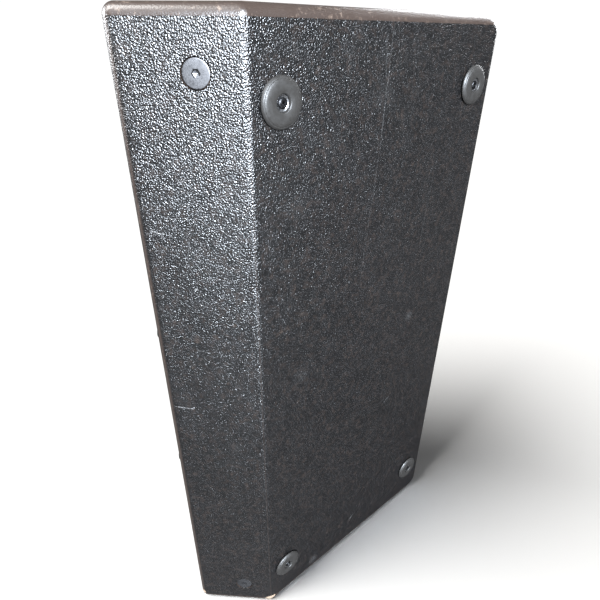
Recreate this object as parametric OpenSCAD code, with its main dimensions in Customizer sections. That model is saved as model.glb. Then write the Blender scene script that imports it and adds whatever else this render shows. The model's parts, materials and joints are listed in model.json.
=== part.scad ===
/* [Cabinet] */
// Length of the cabinet, from end panel to end panel
cabinet_len = 706; // [690:1:740]
// Width of the face that carries the rubber feet
floor_w = 325.5; // [320:0.5:340]
// Width of the narrow rear face
rear_w = 95.5; // [90:0.5:110]
// Angle between the baffle and the floor face
baffle_angle = 55; // [54:1:56]
// Turn from the floor face to the rear face
rear_turn = 43.4; // [42:0.2:45]
// Inside angle between the rear face and the upper face
upper_corner = 110; // [109:1:112]
// Radius of every outside edge
edge_r = 9.2; // [6:0.2:10]
// Radius of the cabinet's four front corners, seen from the front
front_corner_r = 17; // [13:0.5:20]
// Thickness of the outer plywood panels
ply = 15; // [15:1:16]
// Thickness of the baffle
baffle_t = 18; // [18:1:20]
// Depth of the baffle behind the front edge
recess = 20; // [20:1:22]

/* [Rubber feet] */
// Radius of a foot
foot_r = 19; // [17:0.5:20]
// Height of a foot
foot_h = 5.5; // [5.5:0.5:8]
// Distance of the two rear feet from the edge between floor and rear face
foot_rear_along = 27.7; // [25:0.1:35]
// Distance of the two front feet from the same edge
foot_front_along = 279; // [250:1:285]
// Height of the two lower feet along the cabinet
foot_low = 65.5; // [60:0.5:80]
// Height of the two upper feet along the cabinet
foot_high = 643; // [620:1:650]

/* [Rigging points] */
// Distance of the plugs from the same edge, along the rear face
plug_along = 37.5; // [30:0.5:45]
// Height of the lower plug along the cabinet
plug_low = 39.5; // [36:0.5:50]
// Height of the upper plug along the cabinet
plug_high = 663; // [640:1:668]
// Radius of the countersunk M10 plug's head
plug_head_r = 10; // [9:0.5:11]

/* [Drivers] */
// Height of the woofer's axis along the cabinet
woofer_up = 221; // [219:1:224]
// Radius of the woofer's front flange
woofer_r = 193; // [190:0.5:193]
// Height of the horn's axis along the cabinet
horn_up = 548; // [546:1:552]
// Side of the square horn flange
horn_side = 228; // [220:1:232]

/* [Fittings] */
// Radius of the pole socket's bore
pole_r = 17.75; // [17.5:0.05:18]
// Depth of the pole socket's bore
pole_depth = 80; // [60:5:90]
// Height of the handle's centre along the cabinet
handle_up = 311; // [308:1:312]
// Height of the input dish's centre along the cabinet
input_up = 118; // [110:1:122]

/* [Hidden] */
$fn = 64;

black = [0.10, 0.10, 0.11];
foot_along = [foot_rear_along, foot_front_along];
foot_up = [foot_low, foot_high];
plug_up = [plug_low, plug_high];
ply_top = cabinet_len - ply;
inner_len = cabinet_len - 2 * ply;

// Directions of the four long faces, walking round the section from the front edge of the floor
rear_angle = baffle_angle - rear_turn;
upper_angle = rear_angle - (180 - upper_corner);
front_angle = 180;
function along(a) = [cos(a), sin(a)];
function inward(a) = [sin(a), -cos(a)];

// Corners of the section before it is centred, with the obtuse rear edge at zero
raw_front = -floor_w * along(baffle_angle);
raw_upper = rear_w * along(rear_angle);
upper_w = (raw_upper.y - raw_front.y) / sin(-upper_angle);
raw_corners = [raw_front, [0, 0], raw_upper, raw_upper + upper_w * along(upper_angle)];
face_angles = [baffle_angle, rear_angle, upper_angle, front_angle];
function miter(i) =
  let (a = inward(face_angles[(i + 3) % 4]), b = inward(face_angles[i]))
  (a + b) / (1 + a * b);

// The origin is the middle of the section's bounding box
low_x = (raw_corners[0] + edge_r * miter(0)).x - edge_r;
high_x = (raw_corners[3] + edge_r * miter(3)).x + edge_r;
high_y = (raw_corners[2] + edge_r * miter(2)).y + edge_r;
centre = [(low_x + high_x) / 2, (raw_front.y + high_y) / 2];
function corner(i, depth = 0) = raw_corners[i] - centre + depth * miter(i);

front_y = corner(0).y;
baffle_y = front_y + recess;
floor_lip = ply / sin(baffle_angle);
upper_lip = ply / sin(-upper_angle);
// Left and right inside walls at a depth behind the front plane
function left_wall(depth) = corner(0).x + floor_lip + depth / tan(baffle_angle);
function right_wall(depth) = corner(3).x - upper_lip - depth / tan(-upper_angle);
baffle_x = (left_wall(recess) + right_wall(recess)) / 2;

// Front flange and motor of the woofer, measured backwards from the baffle's face
woofer_cut_r = 176;
basket_depth = 92;
motor_r = 66;
plate_t = 9;
magnet_t = 18;
gap_r = 38.6;
coil_r = 37.5;
pole_r_in = 36.2;
plate_z = -basket_depth - plate_t;
magnet_z = plate_z - magnet_t;
back_t = 10;
back_z = magnet_z - back_t;
woofer_bolts = 8;
woofer_bolt_r = 183;

horn_depth = 112;
horn_throat_r = 12.7;
hf_r = 50;
horn_bolt = horn_side / 2 - 12;

// Places on the outside faces: x along the face, y up the cabinet, z outwards
module on_floor() translate(corner(1)) rotate(baffle_angle + 180) rotate([90, 0, 0]) children();
module on_rear() translate(corner(1)) rotate(rear_angle + 180) rotate([90, 0, 0]) children();
module on_upper() translate(corner(3)) rotate(upper_angle + 180) rotate([90, 0, 0]) children();
module on_baffle(up) translate([baffle_x, baffle_y, up]) rotate([90, 0, 0]) children();
module mirrored_pair(d) for (s = [-1, 1]) translate([s * d, 0, 0]) children();
module woofer_circle() for (i = [0.5:woofer_bolts]) rotate(i * 360 / woofer_bolts)
  translate([woofer_bolt_r, 0, 0]) children();
module four(dx, dy) for (x = [-dx, dx], y = [-dy, dy]) translate([x, y, 0]) children();
module ring(r_out, r_in, h) difference() {
  cylinder(r = r_out, h = h);
  translate([0, 0, -1]) cylinder(r = r_in, h = h + 2);
}
module round_box(w, l, h, r) {
  translate([-w / 2 + r, -l / 2, 0]) cube([w - 2 * r, l, h]);
  translate([-w / 2, -l / 2 + r, 0]) cube([w, l - 2 * r, h]);
  four(w / 2 - r, l / 2 - r) cylinder(r = r, h = h);
}
// A countersunk screw whose head's top is at z = 0
module flat_screw(head_r, head_h, shank_r, len, drive_r) difference() {
  union() {
    translate([0, 0, -head_h]) cylinder(r1 = shank_r, r2 = head_r, h = head_h);
    translate([0, 0, -len]) cylinder(r = shank_r, h = len - head_h + 0.01);
  }
  translate([0, 0, -head_h * 0.7]) cylinder(r = drive_r, h = head_h, $fn = 6);
}
// A pan-head screw whose head stands on z = 0
module pan_screw(head_r, head_h, shank_r, len) difference() {
  union() {
    cylinder(r = head_r, h = head_h);
    translate([0, 0, -len]) cylinder(r = shank_r, h = len + 0.01);
  }
  translate([0, 0, head_h * 0.4]) for (a = [0, 90]) rotate(a)
    translate([-head_r * 0.55, -0.4, 0]) cube([head_r * 1.1, 0.8, head_h]);
}

// Where the balls that round a front corner sit: away from the corner along the front
// plane and along the sloping face beside it, at a height above the lowest ball
corner_turn = front_corner_r - edge_r;
function corner_balls(i, slope) = [for (t = [0:22.5:90]) let (
  q = corner(i, edge_r), across = corner_turn * (1 - sin(t)), up = corner_turn * (1 - cos(t)),
  s = i == 0 ? 1 : -1)
  each [[q.x + s * across, q.y, up], [q.x + s * across, q.y + across * slope, up]]];
front_balls = concat(
  corner_balls(0, tan(baffle_angle)), corner_balls(3, tan(-upper_angle)),
  [for (i = [1, 2]) [corner(i, edge_r).x, corner(i, edge_r).y, 0]]);

// The whole outside form with its rounded edges
module envelope() hull() {
  for (b = front_balls, z = [edge_r + b.z, cabinet_len - edge_r - b.z])
    translate([b.x, b.y, z]) sphere(r = edge_r, $fn = 32);
  rounded_walls();
}
// Planes of the outside faces, which a ball's facets alone would leave a little short
module rounded_walls() {
  low = edge_r + corner_turn;
  translate([0, 0, low]) linear_extrude(cabinet_len - 2 * low)
    polygon([for (i = [0:3], k = [3, 4])
      corner(i, edge_r) - edge_r * inward(face_angles[(i + k) % 4])]);
  linear_extrude(cabinet_len) polygon([for (b = front_balls) if (b.z == 0) [b.x, b.y]]);
}
module long_panel(points) intersection() {
  envelope();
  translate([0, 0, ply]) linear_extrude(inner_len) polygon(points);
}

module foot_holes() on_floor()
  for (u = foot_along, v = foot_up) translate([u, v, -30]) cylinder(r = 2, h = 40);
module plug_holes() on_rear() for (v = plug_up) translate([-plug_along, v, 0]) {
  translate([0, 0, -40]) cylinder(r = 6.5, h = 50);
  translate([0, 0, -6.8]) cylinder(r1 = 6.5, r2 = plug_head_r + 0.8, h = 6.8);
}
module floor_panel() color(black) difference() {
  long_panel([corner(0), corner(1), corner(1, ply), corner(0) + [floor_lip, 0]]);
  foot_holes();
}
module rear_panel() color(black) difference() {
  long_panel([corner(1), corner(2), corner(2, ply), corner(1, ply)]);
  plug_holes();
}

// The upper face holds the handle and the connector dish
handle_along = 210;
input_along = 190;
handle_w = 118;
handle_l = 180;
input_w = 118;
input_l = 118;
module at_handle() on_upper() translate([handle_along, handle_up, 0]) children();
module at_input() on_upper() translate([input_along, input_up, 0]) children();
module at_handle_screws() at_handle() four(handle_w / 2 + 4.5, handle_l / 2 + 4.5) children();
module at_input_screws() at_input() four(input_w / 2 + 3.5, input_l / 2 + 3.5) children();
module upper_panel() color(black) difference() {
  long_panel([corner(2), corner(3), corner(3) - [upper_lip, 0], corner(2, ply)]);
  at_handle() translate([0, 0, -30]) round_box(handle_w + 1, handle_l + 1, 40, 14.5);
  at_input() translate([0, 0, -30]) round_box(input_w + 1, input_l + 1, 40, 10.5);
  at_handle_screws() translate([0, 0, -20]) cylinder(r = 2.15, h = 30);
  at_input_screws() translate([0, 0, -20]) cylinder(r = 1.8, h = 30);
}

module end_slab(up) translate([corner(0).x, front_y, up])
  cube([high_x - low_x + 40, high_y - raw_front.y, ply]);
module at_pole() translate([baffle_x + 5, front_y + 112, 0]) rotate([180, 0, 0]) children();
pole_flange_r = 50;
pole_bolt_r = 38;
module top_end_panel() color(black) intersection() {
  envelope();
  end_slab(ply_top);
}
module bottom_end_panel() color(black) intersection() {
  envelope();
  difference() {
    end_slab(0);
    at_pole() {
      translate([0, 0, -20]) cylinder(r = 25, h = 40);
      translate([0, 0, -3.5]) cylinder(r = pole_flange_r + 0.5, h = 10);
      for (a = [45:90:359]) rotate(a) translate([pole_bolt_r, 0, -20]) cylinder(r = 2.05, h = 25);
    }
  }
}

// Vents beside the horn
port_off = 150;
port_w = 25;
port_l = 120;
port_len = 38;
module at_ports() on_baffle(horn_up) mirrored_pair(port_off) children();
module baffle_panel() color("burlywood") difference() {
  translate([0, 0, ply]) linear_extrude(inner_len) polygon([
    [left_wall(recess), baffle_y], [right_wall(recess), baffle_y],
    [right_wall(recess + baffle_t), baffle_y + baffle_t],
    [left_wall(recess + baffle_t), baffle_y + baffle_t]]);
  on_baffle(woofer_up) translate([0, 0, -30]) {
    cylinder(r = woofer_cut_r, h = 40);
    woofer_circle() cylinder(r = 3.5, h = 40);
  }
  on_baffle(horn_up) translate([0, 0, -30]) {
    cylinder(r = mouth_r + 3, h = 40);
    four(horn_bolt, horn_bolt) cylinder(r = 1.8, h = 40);
  }
  at_ports() translate([0, 0, -30]) round_box(port_w + 4.4, port_l + 4.4, 40, port_w / 2);
  at_grille_posts() translate([0, 0, -36]) cylinder(r = 1.8, h = 40);
}

// A plywood frame that ties the panels together between the two drivers
brace_up = 425;
module window_brace() color("burlywood") translate([0, 0, brace_up]) difference() {
  linear_extrude(ply) polygon([
    [left_wall(recess + baffle_t), baffle_y + baffle_t], corner(1, ply), corner(2, ply),
    [right_wall(recess + baffle_t), baffle_y + baffle_t]]);
  translate([0, 0, -1]) linear_extrude(ply + 2) polygon([
    [left_wall(60) + 45, front_y + 62], corner(1, ply + 38), corner(2, ply + 38),
    [right_wall(60) - 45, front_y + 62]]);
}

felt_t = 8;
module felt_rear() color("dimgray") for (z = [[62, 358], [brace_up + ply + 6, 196]])
  translate([0, 0, z[0]]) linear_extrude(z[1]) polygon([
    corner(1, ply + 0.1) + 8 * along(rear_angle), corner(2, ply + 0.1) - 8 * along(rear_angle),
    corner(2, ply + felt_t) - 8 * along(rear_angle),
    corner(1, ply + felt_t) + 8 * along(rear_angle)]);
module felt_ends() color("dimgray") {
  translate([baffle_x - 45, front_y + 180, ply]) cube([100, 45, felt_t]);
  translate([baffle_x - 85, front_y + 60, ply_top - felt_t]) cube([170, 105, felt_t]);
}

// A flat domed foot, undercut below its rim, with a screw well and a seat for its washer
foot_seat = 1.5;
foot_well_r = 6.4;
washer_t = 1;
module foot(u, v) color([0.2, 0.2, 0.21]) on_floor() translate([u, v, 0]) rotate_extrude()
  polygon([[2.3, 0], [foot_r - 2.5, 0], [foot_r, foot_h - 3.3], [foot_r - 0.6, foot_h - 1.9],
    [foot_r - 2.2, foot_h - 0.7], [foot_r - 4.5, foot_h - 0.1], [foot_r - 6, foot_h],
    [foot_well_r + 1, foot_h], [foot_well_r, foot_h - 0.9], [foot_well_r, foot_seat],
    [2.3, foot_seat]]);
module foot_rear_top() foot(foot_along[0], foot_up[1]);
module foot_rear_bottom() foot(foot_along[0], foot_up[0]);
module foot_front_top() foot(foot_along[1], foot_up[1]);
module foot_front_bottom() foot(foot_along[1], foot_up[0]);
module at_feet() on_floor() for (u = foot_along, v = foot_up) translate([u, v, 0]) children();
module foot_washers() color("silver") at_feet() translate([0, 0, foot_seat])
  ring(foot_well_r - 0.3, 2.3, washer_t);
module foot_screws() color([0.2, 0.2, 0.2]) at_feet() translate([0, 0, foot_seat + washer_t])
  pan_screw(4.2, 2.2, 2, 16);

module plug(v) color([0.3, 0.31, 0.33]) on_rear() translate([-plug_along, v, -0.5])
  flat_screw(plug_head_r, 5.5, 5, 16, 3.4);
module fly_plug_top() plug(plug_up[1]);
module fly_plug_bottom() plug(plug_up[0]);
module fly_inserts() color("silver") on_rear() for (v = plug_up)
  translate([-plug_along, v, -ply]) {
    translate([0, 0, -3]) difference() {
      round_box(34, 34, 3, 3);
      translate([0, 0, -1]) cylinder(r = 5.05, h = 10);
    }
    ring(6.5, 5.05, 7.5);
  }

// Perforated front sheet, drawn here as a plain folded tray
grille_gap = 1.5;
grille_t = 1.5;
grille_x = [left_wall(14) + grille_gap, right_wall(14) - grille_gap];
grille_w = grille_x[1] - grille_x[0];
grille_l = inner_len - 2 * grille_gap;
grille_mid = (grille_x[0] + grille_x[1]) / 2;
module on_grille() translate([grille_mid, front_y + 1, cabinet_len / 2])
  rotate([90, 0, 0]) translate([0, 0, -grille_t]) children();
post_edge = 11;
post_x = grille_w / 2 - post_edge;
post_rows = [-grille_l / 2 + post_edge, 72, grille_l / 2 - post_edge];
module at_grille_posts() on_grille()
  for (x = [-post_x, post_x], y = post_rows) translate([x, y, 0]) children();
module grille_sheet() color([0.08, 0.08, 0.09]) difference() {
  on_grille() difference() {
    translate([0, 0, -10 + grille_t]) round_box(grille_w, grille_l, 10, 3);
    translate([0, 0, -11]) round_box(grille_w - 2 * grille_t, grille_l - 2 * grille_t, 11, 2);
  }
  at_grille_posts() translate([0, 0, -5]) cylinder(r = 2.3, h = 10);
}
foam_t = 4;
module grille_foam() color([0.05, 0.05, 0.05]) difference() {
  on_grille() translate([0, 0, -foam_t]) round_box(grille_w - 6, grille_l - 6, foam_t, 2);
  at_grille_posts() translate([0, 0, -10]) cylinder(r = 6, h = 12);
}
spacer_h = recess - 1 - grille_t;
module grille_spacers() color(black) at_grille_posts() translate([0, 0, -spacer_h])
  ring(5.5, 2.3, spacer_h);
module grille_screws() color([0.12, 0.12, 0.13]) at_grille_posts() translate([0, 0, -1.3])
  flat_screw(2.2, 1.2, 1.75, 25, 1);
module port_ducts() color(black) at_ports() difference() {
  union() {
    translate([0, 0, -port_len]) round_box(port_w + 4, port_l + 4, port_len, port_w / 2);
    round_box(port_w + 12, port_l + 16, 2, port_w / 2);
  }
  translate([0, 0, -port_len - 1]) round_box(port_w, port_l, port_len + 5, port_w / 2 - 0.2);
}

// Woofer, drawn with its axis on z and the baffle's face at z = 0
module in_woofer() on_baffle(woofer_up) children();
// Outer radius of the pot that joins the basket to the motor
pot_r = 75;
spider_z = 16 - basket_depth;
module woofer_basket() color([0.2, 0.2, 0.21]) in_woofer() difference() {
  rotate_extrude($fn = 96) polygon([
    [woofer_r, 0], [woofer_r, 5], [165, 5], [165, 0], [168, -3], [112, -60],
    [pot_r - 1, spider_z + 3], [pot_r - 1, spider_z], [60, spider_z], [60, spider_z - 3],
    [pot_r - 4, spider_z - 3], [pot_r - 4, 4 - basket_depth], [42, 4 - basket_depth],
    [42, -basket_depth], [pot_r, -basket_depth], [pot_r, -82], [118, -64], [174.5, -4],
    [174.5, 0]]);
  for (i = [0:5]) rotate(i * 60) translate([80, -32, -84]) cube([86, 64, 76]);
  woofer_circle() translate([0, 0, -5]) cylinder(r = 2.8, h = 20);
}
module woofer_gasket() color([0.07, 0.07, 0.07]) in_woofer() translate([0, 0, 5]) difference() {
  ring(woofer_r, 171, 2.5);
  woofer_circle() translate([0, 0, -5]) cylinder(r = 5.6, h = 20);
}
module woofer_top_plate() color("silver") in_woofer() translate([0, 0, plate_z])
  ring(motor_r - 2, gap_r, plate_t);
module woofer_magnet() color("dimgray") in_woofer() translate([0, 0, magnet_z])
  ring(motor_r, gap_r + 8, magnet_t);
module woofer_pole_piece() color("silver") in_woofer() difference() {
  union() {
    translate([0, 0, back_z]) cylinder(r = motor_r - 2, h = back_t);
    translate([0, 0, magnet_z]) cylinder(r = pole_r_in, h = magnet_t + plate_t);
  }
  translate([0, 0, back_z - 1]) cylinder(r = 12, h = 100);
}

// Moving assembly
cone_top_r = 142;
cone_top_z = -8;
cone_low_z = -68;
cone_t = 1.4;
module woofer_cone() color([0.09, 0.09, 0.09]) in_woofer() rotate_extrude($fn = 96) polygon([
  [coil_r + 0.7, cone_low_z], [cone_top_r, cone_top_z], [cone_top_r + 4, cone_top_z],
  [cone_top_r + 4, cone_top_z - cone_t], [cone_top_r, cone_top_z - cone_t],
  [coil_r + 0.7, cone_low_z - cone_t]]);
cap_r = 58;
cap_low_z = cone_low_z + (cap_r - coil_r) * (cone_top_z - cone_low_z) / (cone_top_r - coil_r);
cap_sphere_r = 92;
cap_drop = sqrt(cap_sphere_r * cap_sphere_r - cap_r * cap_r);
module woofer_dust_cap() color([0.07, 0.07, 0.07]) in_woofer()
  translate([0, 0, cap_low_z]) intersection() {
    difference() {
      translate([0, 0, -cap_drop]) sphere(r = cap_sphere_r, $fn = 96);
      translate([0, 0, -cap_drop]) sphere(r = cap_sphere_r - 1, $fn = 96);
    }
    cylinder(r = cap_r, h = 60);
  }
coil_low_z = plate_z - 7;
module woofer_voice_coil() color([0.7, 0.45, 0.2]) in_woofer() translate([0, 0, coil_low_z]) {
  ring(coil_r + 0.7, coil_r, cone_low_z - coil_low_z);
}
module woofer_surround() color([0.12, 0.12, 0.12]) in_woofer() rotate_extrude($fn = 96) polygon([
  [cone_top_r + 4.2, cone_top_z], [150, -2.5], [154, 2], [158, 0.5], [160, 3.5],
  [164, 5], [171, 5], [171, 6], [163.5, 6], [159, 4.8], [157.5, 2.2], [153.5, 3.6],
  [149, -1.6], [cone_top_r + 4.2, cone_top_z + 1.2]]);
module woofer_spider() color([0.75, 0.55, 0.3]) in_woofer() translate([0, 0, spider_z])
  rotate_extrude() polygon(concat(
    [for (i = [0:12]) [coil_r + 1 + i * 2.3, 1.1 * (i % 2)]],
    [for (i = [12:-1:0]) [coil_r + 1 + i * 2.3, 1.1 * (i % 2) + 0.7]]));
module at_woofer_bolts() in_woofer() woofer_circle() children();
module woofer_screws() color([0.12, 0.12, 0.13]) at_woofer_bolts() translate([0, 0, 5])
  pan_screw(5, 3, 2.5, 30);
module woofer_tee_nuts() color("silver") at_woofer_bolts() translate([0, 0, -baffle_t]) {
  ring(3.4, 2.55, 12);
  translate([0, 0, -1.5]) ring(8, 2.55, 1.5);
}

// High-frequency horn and its compression driver, with the baffle's face at z = 0
module in_horn() on_baffle(horn_up) children();
mouth_r = horn_side / 2 - 12;
flare_steps = 16;
function flare(grow, low, high) = concat([[0, low]],
  [for (i = [0:flare_steps]) [
    horn_throat_r + grow + (mouth_r - horn_throat_r) * pow(i / flare_steps, 1.6),
    low + (high - low) * i / flare_steps]],
  [[0, high]]);
module horn() color([0.08, 0.08, 0.08]) in_horn() difference() {
  union() {
    round_box(horn_side, horn_side, 4, 12);
    rotate_extrude() polygon(flare(2.5, -horn_depth, 2));
    translate([0, 0, -horn_depth]) cylinder(r = 36, h = 7);
  }
  rotate_extrude() polygon(flare(0, -horn_depth - 0.01, 4.01));
  four(horn_bolt, horn_bolt) translate([0, 0, -5]) cylinder(r = 2.6, h = 20);
}
module horn_screws() color([0.12, 0.12, 0.13]) in_horn() four(horn_bolt, horn_bolt)
  translate([0, 0, 4]) pan_screw(4.6, 2.8, 1.75, 20);
hf_z = -horn_depth - 12;
module hf_front_plate() color("silver") in_horn() translate([0, 0, hf_z]) difference() {
  ring(hf_r, horn_throat_r, 12);
  translate([0, 0, -1]) cylinder(r = 26, h = 7);
}
module hf_magnet() color("dimgray") in_horn() translate([0, 0, hf_z - 22]) ring(hf_r + 4, 30, 22);
module hf_dome() color([0.75, 0.76, 0.78]) in_horn() translate([0, 0, hf_z - 4]) difference() {
  union() {
    intersection() {
      translate([0, 0, -25.5]) sphere(r = 34, $fn = 64);
      cylinder(r = 22, h = 20);
    }
    translate([0, 0, -5]) cylinder(r = 22, h = 5.01);
  }
  intersection() {
    translate([0, 0, -25.5]) sphere(r = 33.4, $fn = 64);
    translate([0, 0, -1]) cylinder(r = 21.4, h = 30);
  }
  translate([0, 0, -6]) cylinder(r = 21.4, h = 5.5);
}
module hf_suspension() color([0.8, 0.65, 0.35]) in_horn() translate([0, 0, hf_z - 0.3])
  ring(30, 22.2, 0.3);
module hf_rear_cover() color([0.15, 0.15, 0.16]) in_horn() translate([0, 0, hf_z - 22]) {
  translate([0, 0, -14]) cylinder(r = hf_r - 2, h = 14);
  cylinder(r = 20.4, h = 14);
}

// Crossover on the inside of the upper panel, beside the handle
board_w = 90;
board_l = 110;
board_up = 560;
board_along = 190;
module in_crossover() on_upper() translate([board_along, board_up, -ply]) rotate([180, 0, 0])
  children();
module crossover_standoffs() color("silver") in_crossover()
  four(board_w / 2 - 6, board_l / 2 - 6) ring(3, 1.5, 8);
module crossover_board() color([0.15, 0.35, 0.2]) in_crossover() translate([0, 0, 8]) difference() {
  round_box(board_w, board_l, 1.6, 2);
  four(board_w / 2 - 6, board_l / 2 - 6) translate([0, 0, -1]) cylinder(r = 1.6, h = 5);
}
module crossover_inductors() color([0.72, 0.4, 0.2]) in_crossover() translate([0, 0, 9.6]) {
  translate([-22, -30, 0]) ring(17, 8, 15);
  translate([-22, 12, 0]) ring(13, 6, 12);
}
module crossover_capacitors() color([0.75, 0.15, 0.12]) in_crossover() for (i = [0:2])
  translate([22, -34 + i * 17, 15.7]) rotate([0, 90, 0]) translate([0, 0, -14]) cylinder(r = 6, h = 28);
module crossover_resistors() color([0.9, 0.88, 0.82]) in_crossover() for (i = [0:1])
  translate([8, 18 + i * 13, 9.7]) cube([28, 8, 8]);

// Connector dish with two round twist-lock sockets
dish_depth = 24;
socket_r = 12;
socket_off = 26;
module input_dish() color(black) at_input() difference() {
  union() {
    translate([0, 0, -dish_depth]) round_box(input_w, input_l, dish_depth, 10);
    round_box(input_w + 18, input_l + 18, 2, 12);
  }
  translate([0, 0, -dish_depth + 2.5]) round_box(input_w - 6, input_l - 6, dish_depth + 5, 8);
  for (s = [-1, 1]) translate([0, s * socket_off, -dish_depth - 1]) cylinder(r = socket_r + 0.1, h = 10);
  four(input_w / 2 + 3.5, input_l / 2 + 3.5) translate([0, 0, -5]) cylinder(r = 1.9, h = 20);
}
module socket(s) color([0.13, 0.13, 0.14]) at_input() translate([0, s * socket_off, -dish_depth]) {
  difference() {
    union() {
      translate([0, 0, -26]) cylinder(r = socket_r, h = 30);
      translate([0, 0, 2.5]) ring(17, socket_r - 0.5, 2.5);
    }
    translate([0, 0, -20]) cylinder(r = 10.8, h = 40);
  }
  translate([0, 0, -20.5]) cylinder(r = 6.4, h = 22);
}
module socket_in() socket(1);
module socket_link() socket(-1);
module input_screws() color([0.12, 0.12, 0.13]) at_input_screws() translate([0, 0, 2])
  pan_screw(3.6, 2.2, 1.75, 14);

// Recessed handle
cup_depth = 52;
module handle_cup() color(black) at_handle() difference() {
  union() {
    translate([0, 0, -cup_depth]) round_box(handle_w, handle_l, cup_depth, 14);
    round_box(handle_w + 20, handle_l + 20, 2, 18);
  }
  translate([0, 0, -cup_depth + 2.5]) round_box(handle_w - 5, handle_l - 5, cup_depth + 5, 12);
  four(handle_w / 2 + 4.5, handle_l / 2 + 4.5) translate([0, 0, -5]) cylinder(r = 2.2, h = 20);
}
module handle_bar() color([0.1, 0.1, 0.1]) at_handle() translate([0, 0, -13]) rotate([90, 0, 0])
  translate([0, 0, -handle_l / 2 + 2.5]) cylinder(r = 12, h = handle_l - 5);
module handle_screws() color([0.12, 0.12, 0.13]) at_handle_screws() translate([0, 0, 2])
  pan_screw(4.2, 2.4, 2.1, 14);

// Pole socket, flush in the bottom end panel
module pole_socket() color([0.16, 0.16, 0.17]) at_pole() difference() {
  union() {
    translate([0, 0, -3.5]) cylinder(r = pole_flange_r, h = 3);
    translate([0, 0, -pole_depth - 3.5]) cylinder(r = 21, h = pole_depth + 1);
  }
  translate([0, 0, -pole_depth - 0.5]) cylinder(r = pole_r, h = pole_depth + 5);
  for (a = [45:90:359]) rotate(a) translate([pole_bolt_r, 0, -2.6])
    cylinder(r1 = 2.1, r2 = 4.3, h = 2.2);
  for (a = [45:90:359]) rotate(a) translate([pole_bolt_r, 0, -6]) cylinder(r = 2.1, h = 8);
}
module pole_screws() color("silver") at_pole() for (a = [45:90:359])
  rotate(a) translate([pole_bolt_r, 0, -0.6]) flat_screw(4, 2.1, 2, 15, 1.6);

// Twin cables from the sockets to the crossover and from there to each driver
wire_r = 1.6;
// A point inside the cabinet, x along the upper face and depth in from its inner side
function inside(x, up, depth) =
  let (p = corner(3) - x * along(upper_angle) + (ply + depth) * inward(upper_angle))
  [p.x, p.y, up];
// A point behind the baffle, across and up from the cabinet's foot
function behind(across, up, depth) = [baffle_x + across, baffle_y + depth, up];
wire_routes = [
  [inside(160, 516, 12), inside(150, 480, 40), inside(145, 432, 56), inside(130, 395, 40),
    inside(116, 330, 20), inside(125, 230, 14), inside(150, 190, 24), inside(178, 160, 38)],
  [inside(190, 516, 12), inside(190, 480, 40), inside(170, 432, 60), behind(40, 380, 100),
    behind(10, 330, 100), behind(0, 303, 90)],
  [inside(220, 604, 12), inside(225, 640, 30), behind(50, 625, 165), behind(20, 600, 163)]];
wire_sides = 8;
// A curve through the route's points, with four steps to each stretch
function bend(p, i, t) =
  let (n = len(p) - 1, a = p[max(i - 1, 0)], b = p[i], c = p[i + 1], d = p[min(i + 2, n)])
  0.5 * (2 * b + (c - a) * t + (2 * a - 5 * b + 4 * c - d) * t * t
    + (3 * b - a - 3 * c + d) * t * t * t);
function smooth(p) = concat([for (i = [0:len(p) - 2], k = [0:3]) bend(p, i, k / 4)],
  [p[len(p) - 1]]);
function unit(v) = v / norm(v);
module wire(route) {
  points = smooth(route);
  last = len(points) - 1;
  polyhedron(
    [for (i = [0:last]) let (
      run = unit(points[min(i + 1, last)] - points[max(i - 1, 0)]),
      side = unit(cross(run, [0.3, 1, 0.2])), up = cross(run, side))
      for (k = [0:wire_sides - 1]) let (a = 360 * k / wire_sides)
        points[i] + wire_r * (cos(a) * side + sin(a) * up)],
    concat([[for (k = [0:wire_sides - 1]) k]],
      [for (i = [0:last - 1], k = [0:wire_sides - 1]) let (n = (k + 1) % wire_sides) [
        i * wire_sides + k, (i + 1) * wire_sides + k,
        (i + 1) * wire_sides + n, i * wire_sides + n]],
      [[for (k = [wire_sides - 1:-1:0]) last * wire_sides + k]]));
}
module inside_wires() color([0.6, 0.1, 0.1]) for (route = wire_routes) wire(route);

floor_panel();
rear_panel();
upper_panel();
top_end_panel();
bottom_end_panel();
baffle_panel();
window_brace();
felt_rear();
felt_ends();
foot_rear_top();
foot_rear_bottom();
foot_front_top();
foot_front_bottom();
foot_washers();
foot_screws();
fly_plug_top();
fly_plug_bottom();
fly_inserts();
grille_sheet();
grille_foam();
grille_spacers();
grille_screws();
port_ducts();
woofer_basket();
woofer_gasket();
woofer_top_plate();
woofer_magnet();
woofer_pole_piece();
woofer_cone();
woofer_dust_cap();
woofer_voice_coil();
woofer_surround();
woofer_spider();
woofer_screws();
woofer_tee_nuts();
horn();
horn_screws();
hf_front_plate();
hf_magnet();
hf_rear_cover();
hf_dome();
hf_suspension();
crossover_board();
crossover_inductors();
crossover_capacitors();
crossover_resistors();
crossover_standoffs();
input_dish();
socket_in();
socket_link();
input_screws();
handle_cup();
handle_bar();
handle_screws();
pole_socket();
pole_screws();
inside_wires();
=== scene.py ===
import json
import math
import random

import bmesh
import bpy
from mathutils import Euler, Matrix, Vector, noise

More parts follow.
